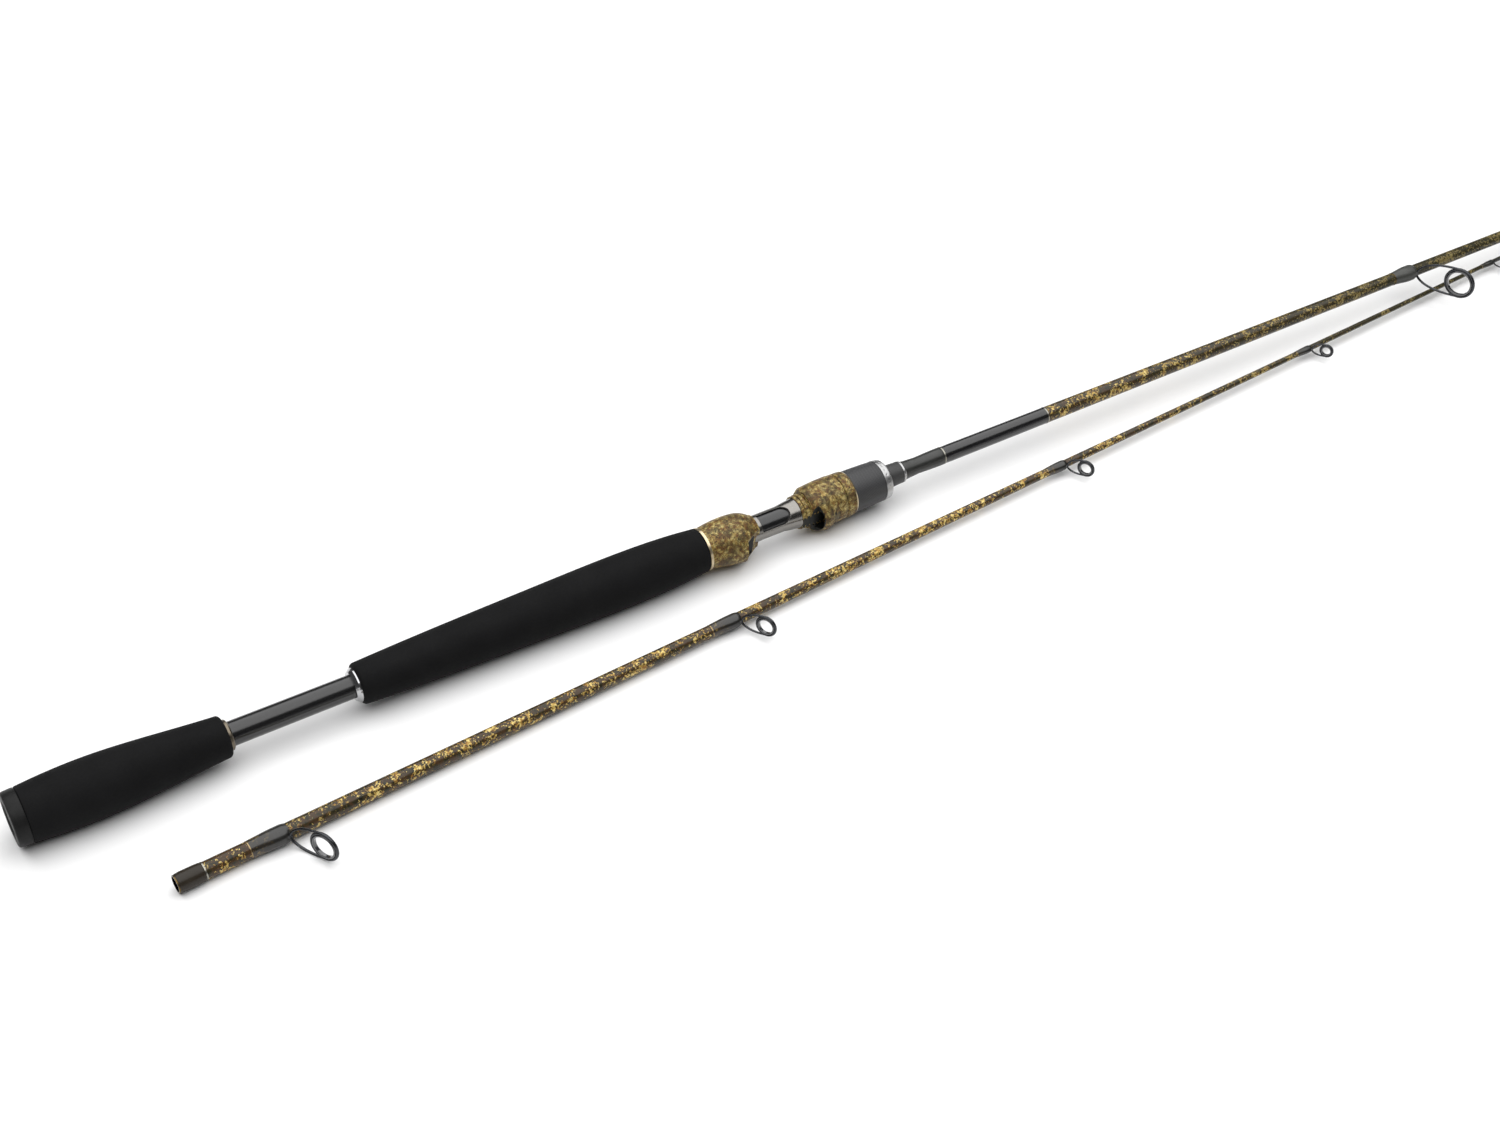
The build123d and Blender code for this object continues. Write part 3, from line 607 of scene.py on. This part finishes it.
def swept(points, section, side, sides=16, loop=False):
    """A tube along points. section(t) is its half-width along side and half-height across it."""
    vertices, faces = [], []
    count = len(points)
    for index, point in enumerate(points):
        before = points[index - 1] if index or loop else point
        after = points[(index + 1) % count] if index < count - 1 or loop else point
        ahead = (after - before).normalized()
        across = (side - ahead * side.dot(ahead)).normalized()
        height = ahead.cross(across)
        half_width, half_height = section(index / (count - 1))
        for step in range(sides):
            angle = 2 * math.pi * step / sides
            wide = across * half_width * math.cos(angle)
            high = height * half_height * math.sin(angle)
            vertices.append(point + wide + high)
    last = count if loop else count - 1
    for ring in range(last):
        after = (ring + 1) % count
        for step in range(sides):
            beside = (step + 1) % sides
            faces.append((ring * sides + step, ring * sides + beside,
                          after * sides + beside, after * sides + step))
    if not loop:
        faces.append(tuple(range(sides)))
        faces.append(tuple(range((count - 1) * sides, count * sides)))
    return vertices, faces


def joined(*shells):
    vertices, faces = [], []
    for more_vertices, more_faces in shells:
        start = len(vertices)
        vertices.extend(more_vertices)
        faces.extend(tuple(start + corner for corner in face) for face in more_faces)
    return vertices, faces


def bezier(a, b, c, d, count):
    steps = [index / (count - 1) for index in range(count)]
    return [
        a * (1 - t) ** 3 + b * 3 * t * (1 - t) ** 2 + c * 3 * t * t * (1 - t) + d * t**3
        for t in steps
    ]


def ease(t):
    """0 before 0, 1 after 1, smooth between."""
    t = min(max(t, 0.0), 1.0)
    return t * t * (3 - 2 * t)


def skin_radius(skin, x):
    """Blank's radius in metres at x metres."""
    at = x / MM
    for (x0, r0), (x1, r1) in zip(skin, skin[1:]):
        if at <= x1:
            return (r0 + (r1 - r0) * (at - x0) / (x1 - x0)) * MM
    return skin[-1][1] * MM


# ---------------------------------------------------------------- guides and their wraps
class Guide:
    """A guide's section, its sizes, its ring's centre and where its legs meet the blank."""

    def __init__(self, name):
        on_butt = name == "stripper"
        self.line = BUTT if on_butt else TIP
        self.skin = BUTT_SKIN if on_butt else TIP_SKIN
        self.body = "butt_section" if on_butt else "tip_section"
        self.lean = STRIPPER_LEAN if on_butt else GUIDE_LEAN
        self.hoop, self.foot, self.swell = (value * MM for value in GUIDES[name])
        self.wire = 0.75 * MM + 0.042 * self.hoop
        self.centre = self.line.local(middle(name + "_ring"))
        height = self.centre.y - skin_radius(self.skin, self.centre.x) - 0.35 * MM
        self.base = self.centre.x - height / math.cos(self.lean) * math.sin(self.lean)


def guide_frame(name):
    """Hoop, two bowed legs that straddle the blank, and a foot that tapers to its tail."""
    guide = Guide(name)
    line, skin, wire, base = guide.line, guide.skin, guide.wire, guide.base
    rise = line.y * math.cos(guide.lean) + line.x * math.sin(guide.lean)
    middle_of_ring = line.at(guide.centre.x, guide.centre.y)
    reach = guide.hoop / 2 - wire / 2
    facing = rise.cross(line.z)
    circle = [
        middle_of_ring + (line.z * math.cos(turn) + rise * math.sin(turn)) * reach
        for turn in (2 * math.pi * step / 72 for step in range(72))
    ]
    shells = [swept(circle, lambda t: (0.66 * wire, 0.5 * wire), facing, 14, loop=True)]
    on_blank = skin_radius(skin, base)
    slant = (guide.centre.y - on_blank) / math.cos(guide.lean)
    for hand in (-1, 1):
        aside = line.z * hand * reach
        start = line.at(base - 0.9 * wire, on_blank + 0.12 * wire, hand * 0.22 * wire)
        lift = line.at(base, on_blank) + rise * 0.1 * slant + aside * 0.92
        bow = middle_of_ring + aside * 1.05 - rise * 0.42 * slant
        join = middle_of_ring + aside
        path = bezier(start, lift, bow, join, 30) + [join + rise * 0.25 * wire]
        leg = swept(path, lambda t: (0.46 * wire + 0.1 * wire * (1 - t), 0.44 * wire), facing, 12)
        shells.append(leg)
    tail = base - guide.foot + 1 * MM
    spine = []
    for step in range(13):
        t = step / 12
        x = tail + (base - tail) * t
        spine.append(line.at(x, skin_radius(skin, x) + 0.12 * wire * ease(t)))
    shells.append(
        swept(spine, lambda t: ((0.3 + 0.32 * t) * wire, (0.1 + 0.3 * ease(t)) * wire), line.z, 12)
    )
    vertices, faces = joined(*shells)
    add_piece(name + "_bent_frame", vertices, faces, DARK_STEEL, guide.body, "guide_metal",
              name + "_frame", sharp=50.0)


def guide_wrap(name):
    """Wound thread under a drop of varnish that thins out at both ends and swells over the foot."""
    guide = Guide(name)
    line, skin, wire = guide.line, guide.skin, guide.wire
    start, end = span(line, name + "_wrap")
    end += 0.35 * wire
    rings = 40
    thin = 0.16 * MM

    def outside(x, radius, angle, index):
        if index >= rings:
            return radius
        t = (x - start) / (end - start)
        ends = math.sqrt(ease(t / 0.10) * ease((1 - t) / 0.16))
        turn = min(angle, 2 * math.pi - angle)
        coat = thin + (guide.swell - thin) * ease((t - 0.02) / 0.62)
        lobe = 0.5 * wire * ease((t - 0.12) / 0.6) * math.exp(-((turn / 0.85) ** 2))
        return radius + (coat + lobe) * ends

    places = [start + (end - start) * index / (rings - 1) for index in range(rings)]
    outline = [(x, skin_radius(skin, x) + 0.02 * MM) for x in places]
    outline += [(x, skin_radius(skin, x) - 0.15 * MM) for x in reversed(places)]
    vertices, faces = turned(line, outline, 48, outside)
    if line is BUTT:
        material = wrap_finish(name + "_thread", line, PALE_THREAD, matt=0.16)
    else:
        material = wrap_finish(name + "_thread", line, DARK_THREAD, start=start, end=end)
    add_piece(name + "_varnished_wrap", vertices, faces, material, guide.body, "wrap_varnish",
              name + "_wrap", sharp=60.0)


for guide_name in GUIDES:
    guide_frame(guide_name)
    guide_wrap(guide_name)


# ---------------------------------------------------------------- seat wrap and ferrule wrap
def blended(points, x):
    """Smooth curve through (x, value) points."""
    for (x0, v0), (x1, v1) in zip(points, points[1:]):
        if x <= x1:
            return v0 + (v1 - v0) * ease((x - x0) / (x1 - x0))
    return points[-1][1]


def plain_wrap(name, node, line, skin, body, material, thickness):
    """A wrap whose thickness over the blank follows (share of its length, thickness in mm) points."""
    start, end = span(line, node)
    rings = 56
    places = [start + (end - start) * index / (rings - 1) for index in range(rings)]
    outline = [
        (x, skin_radius(skin, x) + blended(thickness, index / (rings - 1)) * MM)
        for index, x in enumerate(places)
    ]
    outline += [(x, skin_radius(skin, x) - 0.15 * MM) for x in reversed(places)]
    vertices, faces = turned(line, outline, 80)
    add_piece(name, vertices, faces, material, body, "wrap_varnish", node, sharp=60.0)


SEAT_WRAP = [
    (0, 0.62), (0.18, 0.45), (0.38, 0.38), (0.62, 0.36), (0.85, 0.34), (0.96, 0.28), (1, 0.05),
]
FERRULE_WRAP = [(0, 0.05), (0.06, 0.3), (0.25, 0.46), (0.7, 0.44), (0.93, 0.28), (1, 0.05)]
plain_wrap(
    "seat_varnished_wrap", "seat_wrap", BUTT, BUTT_SKIN, "butt_section", SEAT_THREAD, SEAT_WRAP
)
plain_wrap(
    "ferrule_varnished_wrap", "ferrule_wrap", TIP, TIP_SKIN, "tip_section", FERRULE_THREAD,
    FERRULE_WRAP,
)


# ---------------------------------------------------------------- reel seat barrel and nut
def threaded_barrel():
    """Barrel with a stepped ring, a real thread, the foot's flat bed and the hood's keyway."""
    start, end = span(SEAT, "threaded_barrel")
    crest, root, bore = 10.03 * MM, 9.45 * MM, 7.0 * MM
    keyway, half_key = 8.75 * MM, math.radians(8.6)
    thread_start = start + 5.3 * MM
    steps = [
        (0, 9.6), (1.7, 9.6), (1.85, 9.15), (2.3, 9.15),
        (2.45, 9.85), (4.1, 9.85), (4.25, 9.2), (4.9, 9.2),
    ]
    outer = [(start + x * MM, r * MM) for x, r in steps]
    fine = 0.2 * MM
    count = int((end - thread_start) / fine)
    outer += [(thread_start + fine * index, crest) for index in range(count)]
    outer += [(end - 0.05 * MM, crest - 0.3 * MM), (end, 9.3 * MM)]
    outline = outer + [(end, bore), (start, bore)]

    def shape(x, radius, angle, index):
        if index >= len(outer):
            return radius
        if x >= thread_start and index < len(outer) - 2:
            phase = (x / THREAD_PITCH - angle / (2 * math.pi)) % 1
            flank = min(max((abs(phase - 0.5) * 4 - 0.55) / 0.9, 0), 1)
            fade = ease((x - thread_start) / THREAD_PITCH) * ease((end - x) / THREAD_PITCH)
            radius -= (crest - root) * flank * fade
        turn = min(angle, 2 * math.pi - angle)
        if turn < math.pi / 3:
            radius = min(radius, BED / math.cos(turn))
        if math.pi - turn < half_key:
            radius = min(radius, keyway)
        return radius

    vertices, faces = turned(SEAT, outline, 144, shape)
    # its material paints shade over the flat bed
    add_piece("barrel_with_thread", vertices, faces, CAMO_WITH_POCKET_SHADE, "butt_section", "camo_gloss",
              "threaded_barrel")


def nut_grip():
    """Grip ring with a fine raised diamond weave."""
    start, end = span(SEAT, "nut_grip")
    inner, widest, taper = 11.3 * MM, 12.27 * MM, 0.62 * MM
    rings, segments = 72, 264
    weave = 0.055 * MM
    turns = 44

    def shape(x, radius, angle, index):
        if not 0 < index < rings - 1:
            return radius
        along = (x - start) / (12.2 * MM) * turns
        one = math.sin(along + angle * turns)
        other = math.sin(along - angle * turns)
        return radius + weave * max(one, other)

    places = [start + (end - start) * index / (rings - 1) for index in range(rings)]
    outline = [(x, widest - taper * ((x - start) / (end - start)) ** 2) for x in places]
    outline += [(end, inner), (start, inner)]
    vertices, faces = turned(SEAT, outline, segments, shape)
    add_piece("nut_woven_grip", vertices, faces, NUT_WEAVE, "lock_nut", "woven_graphite",
              "nut_grip", sharp=60.0)


def nut_front_ring():
    """Rounded satin ring with a row of shallow grip dimples."""
    start, end = span(SEAT, "nut_front_ring")
    bore, core = 10.13 * MM, 11.3 * MM
    dimples, depth, half = 24, 0.16 * MM, 0.75 * MM
    rings = 34
    width = end - start
    face = 11.95 * MM
    outer = []
    for index in range(rings):
        t = index / (rings - 1)
        rounding = 0.85 * MM * (1 - math.sqrt(max(1 - ease((t - 0.72) / 0.28) ** 2, 0)))
        entry = 0.12 * MM * (1 - ease(t / 0.06))
        outer.append((start + width * t, face - 0.5 * MM * t - rounding - entry))

    def shape(x, radius, angle, index):
        if index >= rings:
            return radius
        spacing = 2 * math.pi / dimples
        nearest = (angle + spacing / 2) % spacing - spacing / 2
        away = math.hypot(nearest * face, x - start - 0.42 * width)
        return radius - depth * (1 - ease(away / half))

    outline = outer + [(end, bore), (end - 0.8 * MM, bore), (end - 0.8 * MM, core), (start, core)]
    vertices, faces = turned(SEAT, outline, 288, shape)
    add_piece("nut_dimpled_ring", vertices, faces, SILVER, "lock_nut", "silver_trim",
              "nut_front_ring", sharp=50.0)


def butt_cap():
    """End cap with a rounded rim, a stepped and recessed end face, and a plug in the blank."""
    plug = 5.5  # millimetres, as the outline's (x, radius) points are
    outline = [
        (0.7, 0.0), (0.7, 8.2), (0.35, 8.6), (0.35, 9.4), (0.0, 9.8), (0.0, 13.0),
        (0.12, 13.5), (0.45, 13.9), (1.0, 14.1), (2.6, 14.3), (3.0, 14.3), (5.9, 14.45),
        (6.8, 14.3), (7.0, 14.0), (7.0, plug), (18.4, plug), (19.0, plug - 0.6), (19.0, 0.0),
    ]
    vertices, faces = turned(BUTT, [(x * MM, r * MM) for x, r in outline], 128)
    add_piece("butt_cap_shell", vertices, faces, CAP, "butt_section", "dark_plastic",
              "butt_cap", sharp=30.0)


threaded_barrel()
nut_grip()
nut_front_ring()
butt_cap()


# ---------------------------------------------------------------- stage, light, camera
def make_floor():
    """Plain pale floor under the lowest point."""
    half = 8.0
    low = min(cad_box[0][2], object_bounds()[0][2])
    corners = [(-half, -half, low), (half, -half, low), (half, half, low), (-half, half, low)]
    mesh = bpy.data.meshes.new("floor")
    mesh.from_pydata(corners, [], [(0, 1, 2, 3)])
    floor = bpy.data.objects.new("floor", mesh)
    bpy.context.collection.objects.link(floor)
    s = Shader("pale_floor")
    s.set(Base_Color=s.ramp(s.noise(3, 2), (0.3, 0.86), (0.7, 0.88)), Roughness=0.9)
    s.set(Specular_IOR_Level=0.1)
    mesh.materials.append(s.material)


def make_light():
    """One large soft box straight overhead and a faint white surround."""
    world = bpy.data.worlds.new("studio")
    bpy.context.scene.world = world
    world.use_nodes = True
    surround = world.node_tree.nodes["Background"]
    surround.inputs["Color"].default_value = (1, 1, 1, 1)
    surround.inputs["Strength"].default_value = 0.07

    light = bpy.data.lights.new("overhead", "AREA")
    light.shape = "RECTANGLE"
    light.size, light.size_y = 3.4, 3.4
    light.energy = 84
    lamp = bpy.data.objects.new("overhead", light)
    bpy.context.collection.objects.link(lamp)
    lamp.location = (0.55, 0.27, 1.5)
    lamp.rotation_euler = Vector((0, 0, -1)).to_track_quat("-Z", "Y").to_euler()


def make_camera():
    """Looks down at the rod from the side, at the same angle as the reference."""
    camera = bpy.data.cameras.new("camera")
    camera.sensor_width = 36.0
    camera.lens = 51.6
    camera.clip_start = 0.01
    view = bpy.data.objects.new("camera", camera)
    bpy.context.collection.objects.link(view)
    view.location = (-0.06647, -0.77947, 0.75442)
    forward = Vector((0.39949, 0.64902, -0.64744))
    right = Vector((0.8516, -0.5242, 0)).normalized()
    up = right.cross(forward).normalized()
    view.rotation_euler = Matrix((right, up, -forward)).transposed().to_euler()
    bpy.context.scene.camera = view


make_floor()
make_light()
make_camera()
bpy.context.scene.view_settings.view_transform = "Standard"
